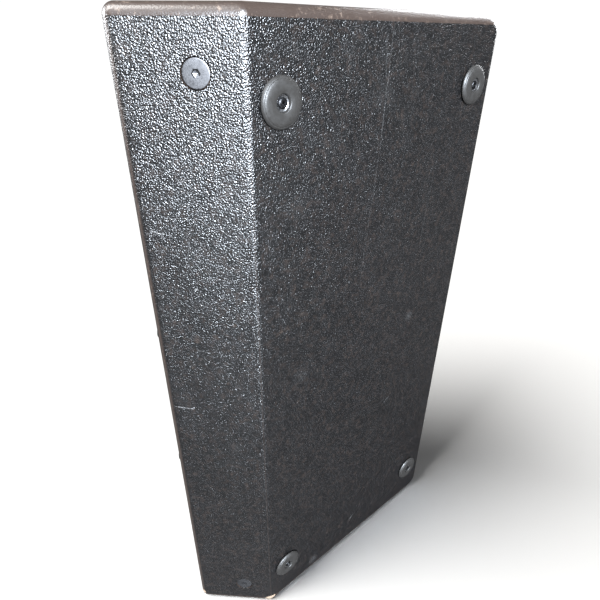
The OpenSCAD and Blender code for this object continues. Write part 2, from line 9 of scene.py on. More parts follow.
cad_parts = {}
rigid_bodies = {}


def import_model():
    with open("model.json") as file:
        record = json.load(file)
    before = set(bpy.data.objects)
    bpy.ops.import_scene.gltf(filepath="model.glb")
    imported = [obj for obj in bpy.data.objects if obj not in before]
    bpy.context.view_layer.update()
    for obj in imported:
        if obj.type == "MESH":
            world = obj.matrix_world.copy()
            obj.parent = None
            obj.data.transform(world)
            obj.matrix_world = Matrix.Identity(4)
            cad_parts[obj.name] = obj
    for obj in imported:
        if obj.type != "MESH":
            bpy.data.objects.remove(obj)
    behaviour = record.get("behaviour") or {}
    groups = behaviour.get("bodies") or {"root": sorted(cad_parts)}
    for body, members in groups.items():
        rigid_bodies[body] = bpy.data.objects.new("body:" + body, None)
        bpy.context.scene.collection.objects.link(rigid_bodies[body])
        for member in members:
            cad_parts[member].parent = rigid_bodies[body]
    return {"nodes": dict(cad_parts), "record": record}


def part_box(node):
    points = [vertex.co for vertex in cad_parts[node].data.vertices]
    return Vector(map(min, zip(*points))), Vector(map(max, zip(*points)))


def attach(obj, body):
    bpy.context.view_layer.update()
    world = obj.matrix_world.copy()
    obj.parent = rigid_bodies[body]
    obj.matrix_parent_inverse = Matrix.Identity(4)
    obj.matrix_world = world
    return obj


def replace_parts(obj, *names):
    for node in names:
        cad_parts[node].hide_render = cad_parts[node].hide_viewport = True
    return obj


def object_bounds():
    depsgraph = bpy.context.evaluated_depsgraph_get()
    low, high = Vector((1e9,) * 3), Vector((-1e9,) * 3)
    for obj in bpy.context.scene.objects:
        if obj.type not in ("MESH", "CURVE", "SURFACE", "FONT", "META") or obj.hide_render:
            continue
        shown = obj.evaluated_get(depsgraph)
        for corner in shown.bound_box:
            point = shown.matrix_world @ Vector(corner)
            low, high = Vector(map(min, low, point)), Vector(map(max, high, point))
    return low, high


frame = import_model()
CAD_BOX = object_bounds()
LOW, HIGH = (Vector(corner) for corner in CAD_BOX)

# ---------------------------------------------------------------- sizes, in metres and degrees

EDGE_R = 0.0092
FRONT_CORNER_R = 0.017
PLY = 0.015
FLOOR_W = 0.3255
REAR_W = 0.0955
FLOOR_ANGLE = 55.0
REAR_ANGLE = 55.0 - 43.4
UPPER_ANGLE = REAR_ANGLE - 70.0
FRONT_ANGLE = 180.0
ANGLES = (FLOOR_ANGLE, REAR_ANGLE, UPPER_ANGLE, FRONT_ANGLE)
LENGTH = HIGH.z
FRONT_Y = LOW.y


def along(angle):
    return Vector((math.cos(math.radians(angle)), math.sin(math.radians(angle))))


def inward(angle):
    return Vector((math.sin(math.radians(angle)), -math.cos(math.radians(angle))))


def miter(i):
    a, b = inward(ANGLES[i - 1]), inward(ANGLES[i])
    return (a + b) / (1 + a.dot(b))


def section_corners():
    """Corners front, mid, rear and tip of the section, placed by the frame's own box."""
    front = -FLOOR_W * along(FLOOR_ANGLE)
    rear = REAR_W * along(REAR_ANGLE)
    upper = (rear.y - front.y) / math.sin(math.radians(-UPPER_ANGLE))
    raw = [front, Vector((0, 0)), rear, rear + upper * along(UPPER_ANGLE)]
    low_x = (raw[0] + EDGE_R * miter(0)).x - EDGE_R
    shift = Vector((LOW.x - low_x, FRONT_Y - front.y))
    return [p + shift for p in raw]


CORNERS = section_corners()


def corner(i, depth=0.0):
    return CORNERS[i] + depth * miter(i)


def face_frame(i, angle):
    """Matrix of an outside face: x along it, y up the cabinet, z outwards, from a corner."""
    x, n = -along(angle), -inward(angle)
    at = CORNERS[i]
    return Matrix(((x.x, 0, n.x, at.x), (x.y, 0, n.y, at.y), (0, 1, 0, 0), (0, 0, 0, 1)))


ON_FLOOR = face_frame(1, FLOOR_ANGLE)
ON_REAR = face_frame(1, REAR_ANGLE)
ON_UPPER = face_frame(3, UPPER_ANGLE)
ON_FRONT = face_frame(0, FRONT_ANGLE)
ON_BOTTOM = Matrix(((1, 0, 0, 0), (0, -1, 0, 0), (0, 0, -1, 0), (0, 0, 0, 1)))


def middle(node):
    low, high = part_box(node)
    return (low + high) / 2


def in_face(face, point):
    """Where a point of the part lies in a face's own frame."""
    return face.inverted() @ point


# ---------------------------------------------------------------- camera

# Lens and sensor in millimetres, place in metres from the mid edge of the wide face, degrees
LENS, SENSOR = 27.73, 36.0
CAMERA_BACK, CAMERA_SIDE, CAMERA_UP = 0.2935, 0.1970, 0.6860
CAMERA_TILT, CAMERA_HEADING, CAMERA_ROLL = 29.73, 195.1, 0.39

camera_data = bpy.data.cameras.new("camera")
camera = bpy.data.objects.new("camera", camera_data)
bpy.context.scene.collection.objects.link(camera)
camera_data.lens = LENS
camera_data.sensor_width = SENSOR
camera_data.clip_start = 0.01
camera.location = ON_FLOOR @ Vector((-CAMERA_SIDE, CAMERA_UP, CAMERA_BACK))
camera.rotation_euler = (
    Euler((math.radians(90 - CAMERA_TILT), 0, math.radians(CAMERA_HEADING))).to_matrix()
    @ Matrix.Rotation(math.radians(CAMERA_ROLL), 3, "Z")
).to_euler()
bpy.context.scene.camera = camera


# ---------------------------------------------------------------- materials

class Nodes:
    """A small helper that builds a procedural material."""

    def __init__(self, name):
        self.material = bpy.data.materials.new(name)
        self.material.use_nodes = True
        self.tree = self.material.node_tree
        self.shader = self.tree.nodes["Principled BSDF"]
        texture = self.add("ShaderNodeTexCoord")
        self.place, self.facing = texture.outputs["Object"], texture.outputs["Normal"]

    def add(self, kind, **values):
        node = self.tree.nodes.new(kind)
        for key, value in values.items():
            setattr(node, key, value)
        return node

    def link(self, source, target):
        self.tree.links.new(source, target)

    def set(self, socket, value):
        self.shader.inputs[socket].default_value = value

    def scaled(self, scale):
        node = self.add("ShaderNodeMapping")
        node.inputs["Scale"].default_value = scale
        self.link(self.place, node.inputs["Vector"])
        return node.outputs["Vector"]

    def dot(self, direction):
        node = self.add("ShaderNodeVectorMath", operation="DOT_PRODUCT")
        self.link(self.place, node.inputs[0])
        node.inputs[1].default_value = direction
        return node.outputs["Value"]

    def noise(self, scale, detail=2.0, rough=0.5, vector=None, distort=0.0):
        node = self.add("ShaderNodeTexNoise")
        node.inputs["Scale"].default_value = scale
        node.inputs["Detail"].default_value = detail
        node.inputs["Roughness"].default_value = rough
        node.inputs["Distortion"].default_value = distort
        self.link(vector or self.place, node.inputs["Vector"])
        return node.outputs["Fac"]

    def cells(self, scale, smooth):
        node = self.add("ShaderNodeTexVoronoi", feature="SMOOTH_F1")
        node.inputs["Scale"].default_value = scale
        node.inputs["Smoothness"].default_value = smooth
        self.link(self.place, node.inputs["Vector"])
        return node.outputs["Distance"]

    def ramp(self, source, low, high, out_low=0.0, out_high=1.0):
        node = self.add("ShaderNodeMapRange", clamp=True)
        for key, value in (("From Min", low), ("From Max", high), ("To Min", out_low),
                           ("To Max", out_high)):
            node.inputs[key].default_value = value
        self.link(source, node.inputs["Value"])
        return node.outputs["Result"]

    def math(self, kind, a, b=None):
        node = self.add("ShaderNodeMath", operation=kind)
        for socket, value in zip(node.inputs, (a, b)):
            if value is None:
                continue
            if isinstance(value, (int, float)):
                socket.default_value = value
            else:
                self.link(value, socket)
        return node.outputs["Value"]

    def mix(self, factor, a, b):
        node = self.add("ShaderNodeMix", data_type="RGBA")
        for socket, value in ((node.inputs["Factor"], factor), (node.inputs["A"], a),
                              (node.inputs["B"], b)):
            if isinstance(value, tuple):
                socket.default_value = (*value, 1.0)
            else:
                self.link(value, socket)
        return node.outputs["Result"]

    def bump(self, height, distance, strength):
        node = self.add("ShaderNodeBump")
        node.inputs["Distance"].default_value = distance
        node.inputs["Strength"].default_value = strength
        self.link(height, node.inputs["Height"])
        return node.outputs["Normal"]

    def finish(self, colour=None, roughness=None, normal=None):
        for socket, value in (("Base Color", colour), ("Roughness", roughness), ("Normal", normal)):
            if value is not None:
                self.link(value, self.shader.inputs[socket])
        return self.material


# The coat's grain: grains in a metre and their height in metres, then where its peaks turn pale
GRAIN, GRAIN_H = 760.0, 0.00050
PEAK_LOW, PEAK_HIGH, PEAK_COLOUR = 0.17, 0.28, (0.0165, 0.0148, 0.0146)
COAT_DARK, COAT_PALE = (0.0008, 0.0008, 0.0009), (0.0015, 0.0014, 0.0015)
# The first is a painted warm reflection along the rounded edges; the second is wear where the coat
# is rubbed pale on them
EDGE_REFLECTION_COLOUR, RUBBED_COLOUR = (0.031, 0.021, 0.0165), (0.085, 0.062, 0.048)
MARK_COLOUR, CHIP_COLOUR, WOOD_COLOUR = (0.22, 0.215, 0.21), (0.20, 0.145, 0.10), (0.40, 0.27, 0.15)
# The coat runs in from the open front this deep, and bare wood starts at the second depth
LIP_COAT_END, LIP_WOOD_START = 0.037, 0.0385
# Scratches: face, start and end in metres along and up it, width, strength
SCRATCHES = (
    ("floor", (0.149, 0.698), (0.144, 0.594), 0.0008, 0.16),
    ("floor", (0.144, 0.594), (0.131, 0.462), 0.0006, 0.10),
    ("floor", (0.140, 0.690), (0.146, 0.640), 0.0020, 0.06),
    ("floor", (0.236, 0.560), (0.228, 0.470), 0.0006, 0.08),
    ("rear", (-0.087, 0.546), (-0.074, 0.544), 0.0010, 0.55),
    ("rear", (-0.091, 0.355), (-0.070, 0.353), 0.0010, 0.55),
    ("rear", (-0.055, 0.492), (-0.052, 0.494), 0.0014, 0.60),
    ("rear", (-0.060, 0.428), (-0.046, 0.425), 0.0007, 0.30),
    ("floor", (0.147, 0.044), (0.157, 0.051), 0.0012, 0.45),
    ("floor", (0.197, 0.252), (0.208, 0.258), 0.0010, 0.22),
)
# Smudges: face, centre in metres along and up it, reach, strength
SMUDGES = (
    ("floor", (0.050, 0.375), 0.013, 0.05), ("floor", (0.228, 0.380), 0.008, 0.12),
    ("floor", (0.076, 0.020), 0.010, 0.15), ("floor", (0.145, 0.640), 0.018, 0.04),
    ("floor", (0.045, 0.560), 0.015, 0.03), ("rear", (-0.030, 0.300), 0.010, 0.04),
)
# Chips that show bare wood: centre in the part's frame and reach
MID_EDGE, TIP_EDGE = corner(1, EDGE_R * 0.25), corner(0, EDGE_R * 0.3)
CHIPS = (
    ((MID_EDGE.x, MID_EDGE.y, 0.006), 0.0085),
    ((MID_EDGE.x - 0.012, MID_EDGE.y - 0.010, 0.0225), 0.0030),
    ((TIP_EDGE.x, TIP_EDGE.y, LENGTH - 0.012), 0.0040),
    ((corner(2, EDGE_R * 0.3).x, corner(2, EDGE_R * 0.3).y, 0.012), 0.0045),
)
FACES = {"floor": (1, FLOOR_ANGLE), "rear": (1, REAR_ANGLE)}


class Coat(Nodes):
    """Nodes that know the cabinet's faces."""

    def depth(self, i, angle):
        """How deep a point lies behind an outside face."""
        n, at = inward(angle), CORNERS[i]
        return self.math("SUBTRACT", self.dot((n.x, n.y, 0)), n.dot(at))

    def depths(self):
        """How deep a point lies behind the four long faces and the two ends."""
        up = self.dot((0, 0, 1))
        sides = [self.depth(i, ANGLES[i]) for i in range(4)]
        return sides + [up, self.math("SUBTRACT", LENGTH, up)]

    def turn(self):
        """The cosine of the angle between the surface and the nearest flat face."""
        sides = [(-inward(a).x, -inward(a).y, 0) for a in ANGLES] + [(0, 0, 1), (0, 0, -1)]
        most = None
        for side in sides:
            node = self.add("ShaderNodeVectorMath", operation="DOT_PRODUCT")
            self.link(self.facing, node.inputs[0])
            node.inputs[1].default_value = side
            dot = node.outputs["Value"]
            most = dot if most is None else self.math("MAXIMUM", most, dot)
        return most

    def rim(self, depths):
        """One on the rounded edges of the two ends, nothing on a flat face."""
        near = [self.ramp(depth, 0.0, EDGE_R, 1.0, 0.0) for depth in depths]
        side = near[0]
        for other in near[1:4]:
            side = self.math("MAXIMUM", side, other)
        end = self.math("MAXIMUM", near[4], near[5])
        swing = self.math("SUBTRACT", self.noise(160.0, 4.0, 0.7), 0.5)
        ragged = self.math("MULTIPLY", swing, 0.10)
        return self.ramp(self.math("ADD", self.math("ADD", side, end), ragged), 1.0, 1.05)

    def on_face(self, name):
        """How far along and up a face a point lies, and one only at the face's skin."""
        i, angle = FACES[name]
        d = -along(angle)
        run = self.math("SUBTRACT", self.dot((d.x, d.y, 0)), d.dot(CORNERS[i]))
        skin = self.ramp(self.depth(i, angle), 0.0003, 0.0012, 1.0, 0.0)
        return run, self.dot((0, 0, 1)), skin

    def scratch(self, name, start, end, width, wobble):
        run, up, skin = self.on_face(name)
        start, end = Vector(start), Vector(end)
        way = (end - start).normalized()
        half, mid = (end - start).length / 2, (start + end) / 2
        x, y = self.math("SUBTRACT", run, mid.x), self.math("SUBTRACT", up, mid.y)
        turned = [self.math("ADD", self.math("MULTIPLY", x, a), self.math("MULTIPLY", y, b))
                  for a, b in ((way.x, way.y), (-way.y, way.x))]
        side = self.math("ABSOLUTE", self.math("ADD", turned[1], wobble))
        line = self.ramp(side, width * 0.3, width, 1.0, 0.0)
        ends = self.ramp(self.math("ABSOLUTE", turned[0]), half * 0.8, half, 1.0, 0.0)
        return self.math("MULTIPLY", self.math("MULTIPLY", line, ends), skin)

    def smudge(self, name, centre, reach):
        run, up, skin = self.on_face(name)
        x = self.math("SUBTRACT", run, centre[0])
        y = self.math("SUBTRACT", up, centre[1])
        away = self.math("SQRT", self.math("ADD", self.math("MULTIPLY", x, x),
                                           self.math("MULTIPLY", y, y)))
        return self.math("MULTIPLY", self.ramp(away, reach * 0.2, reach, 1.0, 0.0), skin)


def coat_material():
    """Black spray coat with a rounded pebble grain, a painted warm reflection along the rounded
    edges, and worn paler along edges and in marks.
    """
    n = Coat("textured_black_coat")
    n.set("Specular IOR Level", 0.85)
    grains = n.cells(GRAIN, 0.35)
    worms = n.noise(GRAIN * 1.1, 1.0, 0.5)
    height = n.math("ADD", n.math("MULTIPLY", grains, -1.0), worms)
    turn, depths = n.turn(), n.depths()
    crest = n.math("MAXIMUM", n.ramp(turn, 0.97, 0.84), n.rim(depths))

    flecks = n.noise(260.0, 4.0, 0.7)
    patches = n.ramp(n.noise(24.0, 4.0, 0.6), 0.42, 0.62)
    rubbed = n.math("MULTIPLY", crest, n.ramp(flecks, 0.56, 0.66))
    rubbed = n.math("MULTIPLY", rubbed, patches)
    wobble = n.math("MULTIPLY", n.math("SUBTRACT", n.noise(90.0, 3.0), 0.5), 0.0025)
    broken = n.ramp(n.noise(700.0, 3.0, 0.7), 0.42, 0.58)
    marks = None
    for face, start, end, width, strength in SCRATCHES:
        line = n.math("MULTIPLY", n.scratch(face, start, end, width, wobble), strength)
        marks = line if marks is None else n.math("MAXIMUM", marks, line)
    for face, centre, reach, strength in SMUDGES:
        spot = n.math("MULTIPLY", n.smudge(face, centre, reach), strength)
        marks = n.math("MAXIMUM", marks, spot)
    marks = n.math("MULTIPLY", marks, broken)
    chip = None
    for at, reach in CHIPS:
        near = n.add("ShaderNodeVectorMath", operation="DISTANCE")
        n.link(n.place, near.inputs[0])
        near.inputs[1].default_value = at
        ragged = n.math("ADD", near.outputs["Value"], n.math("MULTIPLY", flecks, 0.003))
        spot = n.ramp(ragged, reach * 0.95, reach * 1.15, 1.0, 0.0)
        chip = spot if chip is None else n.math("MAXIMUM", chip, spot)

    cloud = n.ramp(n.noise(9.0, 4.0, 0.6), 0.35, 0.7)
    colour = n.mix(cloud, COAT_DARK, COAT_PALE)
    colour = n.mix(n.ramp(height, PEAK_LOW, PEAK_HIGH), colour, PEAK_COLOUR)
    # Painted warm reflection on the rounded edges, mixed into the colour
    colour = n.mix(n.math("MULTIPLY", crest, 0.8), colour, EDGE_REFLECTION_COLOUR)
    colour = n.mix(rubbed, colour, RUBBED_COLOUR)
    colour = n.mix(marks, colour, MARK_COLOUR)
    colour = n.mix(chip, colour, CHIP_COLOUR)
    inside = n.ramp(depths[0], PLY * 0.95, PLY * 0.98)
    for depth in depths[1:]:
        near = n.ramp(depth, PLY * 0.95, PLY * 0.98)
        inside = n.math("MULTIPLY", inside, near)
    behind = n.ramp(depths[3], LIP_COAT_END, LIP_WOOD_START)
    inside = n.math("MULTIPLY", inside, behind)
    colour = n.mix(inside, colour, WOOD_COLOUR)
    rough = n.ramp(n.noise(60.0, 3.0), 0.3, 0.7, 0.31, 0.37)
    rough = n.math("ADD", rough, n.math("MULTIPLY", n.math("MAXIMUM", chip, inside), 0.4))
    worn = n.math("MULTIPLY", crest, 0.85)
    level = n.math("MULTIPLY", height, n.math("SUBTRACT", 1.0, worn))
    return n.finish(colour, rough, n.bump(level, GRAIN_H, 1.0))


def rubber_material():
    n = Nodes("foot_rubber")
    dust = n.ramp(n.noise(90.0, 5.0, 0.7), 0.35, 0.75)
    colour = n.mix(dust, (0.0130, 0.0118, 0.0106), (0.0180, 0.0165, 0.0150))
    rough = n.ramp(n.noise(300.0, 4.0), 0.3, 0.7, 0.42, 0.58)
    normal = n.bump(n.noise(1200.0, 3.0), 0.0002, 0.5)
    return n.finish(colour, rough, normal)


def metal_material(name, colour, rough, scale=900.0):
    n = Nodes(name)
    n.set("Metallic", 1.0)
    stain = n.ramp(n.noise(160.0, 4.0, 0.7), 0.35, 0.75)
    dark = tuple(c * 0.62 for c in colour)
    tint = n.mix(stain, colour, dark)
    roughness = n.ramp(n.noise(scale, 3.0), 0.3, 0.7, rough - 0.1, rough + 0.12)
    normal = n.bump(n.noise(scale * 2, 2.0), 0.00006, 0.5)
    return n.finish(tint, roughness, normal)


def plastic_material(name, colour, rough, grain=1400.0):
    n = Nodes(name)
    wear = n.ramp(n.noise(70.0, 4.0, 0.65), 0.4, 0.8)
    tint = n.mix(wear, colour, tuple(min(1.0, c * 1.35 + 0.004) for c in colour))
    roughness = n.ramp(n.noise(220.0, 3.0), 0.3, 0.7, rough - 0.08, rough + 0.08)
    normal = n.bump(n.cells(grain, 0.5), 0.00008, 0.8)
    return n.finish(tint, roughness, normal)


def wood_material():
    n = Nodes("bare_plywood")
    grain = n.noise(18.0, 6.0, 0.6, n.scaled((9.0, 9.0, 0.6)), 0.8)
    colour = n.mix(n.ramp(grain, 0.3, 0.7), (0.30, 0.19, 0.10), (0.46, 0.32, 0.18))
    return n.finish(colour, n.ramp(grain, 0.3, 0.7, 0.55, 0.75), n.bump(grain, 0.0003, 0.6))


def fibre_material(name, colour, scale=1600.0, relief=0.0004):
    n = Nodes(name)
    fluff = n.noise(scale, 5.0, 0.8)
    patch = n.noise(60.0, 3.0, 0.6)
    tint = n.mix(n.ramp(patch, 0.3, 0.7), colour, tuple(c * 1.5 for c in colour))
    return n.finish(tint, n.ramp(fluff, 0.3, 0.7, 0.8, 0.98), n.bump(fluff, relief, 1.0))


MATERIALS = {
    "textured_black_coat": coat_material(),
    "bare_plywood": wood_material(),
    "felt": fibre_material("felt", (0.035, 0.035, 0.038)),
    "foot_rubber": rubber_material(),
    "zinc_steel": metal_material("zinc_steel", (0.62, 0.62, 0.63), 0.28),
    "plug_steel": metal_material("plug_steel", (0.125, 0.124, 0.128), 0.50),
    "grille_steel": plastic_material("grille_steel", (0.016, 0.016, 0.017), 0.45, 2200.0),
    "open_foam": fibre_material("open_foam", (0.012, 0.012, 0.012), 900.0, 0.0008),
    "black_plastic": plastic_material("black_plastic", (0.022, 0.022, 0.023), 0.48),
    "black_screws": metal_material("black_screws", (0.05, 0.05, 0.052), 0.4),
    "basket_casting": metal_material("basket_casting", (0.08, 0.08, 0.085), 0.5, 500.0),
    "gasket_rubber": plastic_material("gasket_rubber", (0.02, 0.02, 0.02), 0.7),
    "ferrite": plastic_material("ferrite", (0.035, 0.035, 0.038), 0.65, 800.0),
    "soft_steel": metal_material("soft_steel", (0.5, 0.5, 0.51), 0.32),
    "cone_paper": fibre_material("cone_paper", (0.018, 0.018, 0.019), 700.0, 0.0003),
    "surround_cloth": fibre_material("surround_cloth", (0.02, 0.02, 0.022), 1200.0, 0.0003),
    "spider_cloth": fibre_material("spider_cloth", (0.40, 0.24, 0.09), 1500.0, 0.0003),
    "coil_copper": metal_material("coil_copper", (0.72, 0.36, 0.18), 0.3, 2500.0),
    "dome_metal": metal_material("dome_metal", (0.7, 0.71, 0.74), 0.2),
    "board_laminate": plastic_material("board_laminate", (0.02, 0.11, 0.05), 0.4, 500.0),
    "film_capacitor": plastic_material("film_capacitor", (0.42, 0.03, 0.02), 0.25, 300.0),
    "ceramic_resistor": plastic_material("ceramic_resistor", (0.7, 0.68, 0.62), 0.7, 900.0),
    "cable_jacket": plastic_material("cable_jacket", (0.28, 0.02, 0.02), 0.5, 600.0),
}
SLOT_OF = {part["node"]: part["material_slot"] for part in frame["record"]["subparts"]}
for name, node in frame["nodes"].items():
    for slot in node.material_slots:
        slot.material = MATERIALS[SLOT_OF[name]]


# ---------------------------------------------------------------- mesh helpers

def new_piece(name, mesh, material):
    """A smooth-shaded piece with its material, riding on the cabinet."""
    piece = bpy.data.objects.new(name, mesh)
    bpy.context.scene.collection.objects.link(piece)
    mesh.materials.append(MATERIALS[material])
    for face in mesh.polygons:
        face.use_smooth = True
    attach(piece, "cabinet")
    return piece


def mesh_of(bm, name):
    bmesh.ops.remove_doubles(bm, verts=bm.verts, dist=1e-7)
    bmesh.ops.recalc_face_normals(bm, faces=bm.faces)
    mesh = bpy.data.meshes.new(name)
    bm.to_mesh(mesh)
    bm.free()
    return mesh


def add_prism(bm, points, low, high):
    """A straight prism of 2-D points between two heights."""
    bottom = [bm.verts.new((*p, low)) for p in points]
    top = [bm.verts.new((*p, high)) for p in points]
    bm.faces.new(bottom[::-1])
    bm.faces.new(top)
    for i in range(len(points)):
        j = (i + 1) % len(points)
        bm.faces.new((bottom[i], bottom[j], top[j], top[i]))


def add_lathe(bm, profile, steps, place):
    """A turned ring or disc from (radius, height) points, about the z of a placing matrix."""
    rings = []
    for r, z in profile:
        if r < 1e-6:
            rings.append([bm.verts.new(place @ Vector((0, 0, z)))])
            continue
        rings.append([bm.verts.new(place @ Vector((
            r * math.cos(2 * math.pi * k / steps), r * math.sin(2 * math.pi * k / steps), z)))
            for k in range(steps)])
    for a, b in zip(rings, rings[1:] + rings[:1]):
        for k in range(steps):
            j = (k + 1) % steps
            loop = (a[k % len(a)], a[j % len(a)], b[j % len(b)], b[k % len(b)])
            loop = list(dict.fromkeys(loop))
            if len(loop) > 2:
                bm.faces.new(loop)


def rounded_rectangle(w, l, r, steps=8):
    points = []
    for k, (sx, sy) in enumerate(((1, 1), (-1, 1), (-1, -1), (1, -1))):
        for i in range(steps + 1):
            a = math.radians(90 * (k + i / steps))
            points.append(Vector((sx * (w / 2 - r) + r * math.cos(a),
                                  sy * (l / 2 - r) + r * math.sin(a))))
    return points


def cut(piece, *meshes):
    """Subtracts closed meshes from a piece."""
    cutters = []
    for i, mesh in enumerate(meshes):
        cutter = bpy.data.objects.new(f"cutter_{i}", mesh)
        bpy.context.scene.collection.objects.link(cutter)
        modifier = piece.modifiers.new("cut", "BOOLEAN")
        modifier.operation = "DIFFERENCE"
        modifier.solver = "EXACT"
        modifier.object = cutter
        cutters.append(cutter)
    bake_modifiers(piece)
    for cutter in cutters:
        bpy.data.objects.remove(cutter)


def bake_modifiers(piece):
    bpy.context.view_layer.update()
    graph = bpy.context.evaluated_depsgraph_get()
    mesh = bpy.data.meshes.new_from_object(piece.evaluated_get(graph))
    piece.modifiers.clear()
    old = piece.data
    piece.data = mesh
    bpy.data.meshes.remove(old)


def even_normals(piece):
    """Keeps flat faces flat and rounded edges round in the shading."""
    modifier = piece.modifiers.new("normals", "WEIGHTED_NORMAL")
    modifier.mode = "FACE_AREA"
    modifier.weight = 100
    modifier.keep_sharp = True
    bake_modifiers(piece)


def sharpen(mesh, angle=35):
    """Marks edges that turn more than an angle as sharp."""
    bm = bmesh.new()
    bm.from_mesh(mesh)
    for edge in bm.edges:
        if len(edge.link_faces) == 2 and edge.calc_face_angle(0) > math.radians(angle):
            edge.smooth = False
    bm.to_mesh(mesh)
    bm.free()


# ---------------------------------------------------------------- cabinet shell

ARC_STEPS = 6
BALL_STEPS = 48


def front_balls(i, slope, sign):
    """Where the balls of a front corner sit, as in the design: x, y and height above the lowest."""
    turn, at = FRONT_CORNER_R - EDGE_R, corner(i, EDGE_R)
    spots = []
    for k in range(ARC_STEPS + 1):
        t = math.radians(90 * k / ARC_STEPS)
        across, up = turn * (1 - math.sin(t)), turn * (1 - math.cos(t))
        x = at.x + sign * across
        spots += [(x, at.y, up), (x, at.y + across * slope, up)]
    return spots


def ball_points(at):
    """Points of a ball, with the directions of the flat faces among them."""
    points = []
    for k in range(BALL_STEPS // 2 + 1):
        tilt = math.pi * k / (BALL_STEPS // 2)
        for m in range(BALL_STEPS):
            a = 2 * math.pi * m / BALL_STEPS
            r = math.sin(tilt)
            points.append((r * math.cos(a), r * math.sin(a), math.cos(tilt)))
    points += [(-inward(a).x, -inward(a).y, 0) for a in ANGLES]
    return [Vector(at) + EDGE_R * Vector(p) for p in points]


def envelope():
    """The cabinet's outside: the hull of balls set where its rounded edges and corners turn."""
    spots = front_balls(0, math.tan(math.radians(FLOOR_ANGLE)), 1)
    spots += front_balls(3, math.tan(math.radians(-UPPER_ANGLE)), -1)
    spots += [(*corner(i, EDGE_R), 0) for i in (1, 2)]
    bm = bmesh.new()
    for x, y, up in spots:
        for z in (EDGE_R + up, LENGTH - EDGE_R - up):
            for p in ball_points((x, y, z)):
                bm.verts.new(p)
    bmesh.ops.remove_doubles(bm, verts=bm.verts, dist=1e-6)
    hull = bmesh.ops.convex_hull(bm, input=bm.verts)
    unused = hull["geom_interior"] + hull["geom_unused"]
    spare = {v for v in unused if isinstance(v, bmesh.types.BMVert)}
    bmesh.ops.delete(bm, geom=list(spare), context="VERTS")
    bmesh.ops.dissolve_limit(bm, angle_limit=math.radians(0.3), verts=bm.verts, edges=bm.edges)
    return mesh_of(bm, "cabinet_shell")


def prism_mesh(points, low, high, place=Matrix.Identity(4)):
    bm = bmesh.new()
    add_prism(bm, points, low, high)
    bmesh.ops.transform(bm, matrix=place, verts=bm.verts)
    return mesh_of(bm, "prism")


def lathe_mesh(profile, place, steps=48):
    bm = bmesh.new()
    add_lathe(bm, profile, steps, place)
    return mesh_of(bm, "turned")


FLOOR_LIP = PLY / math.sin(math.radians(FLOOR_ANGLE))
UPPER_LIP = PLY / math.sin(math.radians(-UPPER_ANGLE))
BEYOND = 0.01
# Openings: width, height and corner of the two on the upper panel, and how far their cutter runs
HANDLE_HOLE, DISH_HOLE, HOLE_IN = (0.119, 0.181, 0.0145), (0.119, 0.119, 0.0105), -0.03
POLE_FLANGE_R, POLE_FLANGE_T, POLE_HOLE_R, POLE_HOLE_DEEP = 0.0505, 0.0035, 0.025, 0.02


def hollow_points():
    """The inside of the cabinet, run on through the open front."""
    front, tip = corner(0) + Vector((FLOOR_LIP, 0)), corner(3) - Vector((UPPER_LIP, 0))
    out_front = front - along(FLOOR_ANGLE) * BEYOND / along(FLOOR_ANGLE).y
    out_tip = tip + along(UPPER_ANGLE) * BEYOND / -along(UPPER_ANGLE).y
    return [out_front, corner(1, PLY), corner(2, PLY), out_tip]


def plug_cutter(node):
    """The stepped countersink in which a rigging plug sits."""
    at = in_face(ON_REAR, middle(node))
    place = ON_REAR @ Matrix.Translation((at.x, at.y, 0))
    return lathe_mesh([(0, -0.02), (0.0065, -0.02), (0.0065, -0.0068), (0.0106, -0.0040),
                       (0.0111, 0.002), (0, 0.002)], place)


PLUGS = ("fly_plug_top", "fly_plug_bottom")
HANDLE_AT = in_face(ON_UPPER, middle("handle_bar"))
DISH_AT = in_face(ON_UPPER, middle("input_dish"))
POLE_AT = middle("pole_socket")
shell = new_piece("cabinet_shell", envelope(), "textured_black_coat")
pole_place = Matrix.Translation((POLE_AT.x, POLE_AT.y, 0))
handle_place = ON_UPPER @ Matrix.Translation((HANDLE_AT.x, HANDLE_AT.y, 0))
dish_place = ON_UPPER @ Matrix.Translation((DISH_AT.x, DISH_AT.y, 0))
cut(shell,
    prism_mesh(hollow_points(), PLY, LENGTH - PLY),
    *(plug_cutter(node) for node in PLUGS),
    prism_mesh(rounded_rectangle(*HANDLE_HOLE), HOLE_IN, BEYOND, handle_place),
    prism_mesh(rounded_rectangle(*DISH_HOLE), HOLE_IN, BEYOND, dish_place),
    lathe_mesh([(0, -BEYOND), (POLE_FLANGE_R, -BEYOND), (POLE_FLANGE_R, POLE_FLANGE_T),
                (POLE_HOLE_R, POLE_FLANGE_T), (POLE_HOLE_R, POLE_HOLE_DEEP),
                (0, POLE_HOLE_DEEP)], pole_place, 96))
sharpen(shell.data)
even_normals(shell)
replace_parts(shell, "floor_panel", "rear_panel", "upper_panel", "top_end_panel", "bottom_end_panel")


# ---------------------------------------------------------------- rubber feet and their screws

FEET = ("foot_rear_top", "foot_rear_bottom", "foot_front_top", "foot_front_bottom")
FOOT_R, FOOT_H = 0.019, 0.0055
FOOT_SEAT, FOOT_WELL_R, FOOT_HOLE_R, WASHER_T = 0.0015, 0.0064, 0.0023, 0.001
FOOT_SCREW_HEAD_R, FOOT_SCREW_HEAD_H, FOOT_SCREW_R, FOOT_SCREW_L = 0.0042, 0.0022, 0.0019, 0.016


def foot_place(node):
    at = in_face(ON_FLOOR, middle(node))
    return ON_FLOOR @ Matrix.Translation((at.x, at.y, 0))


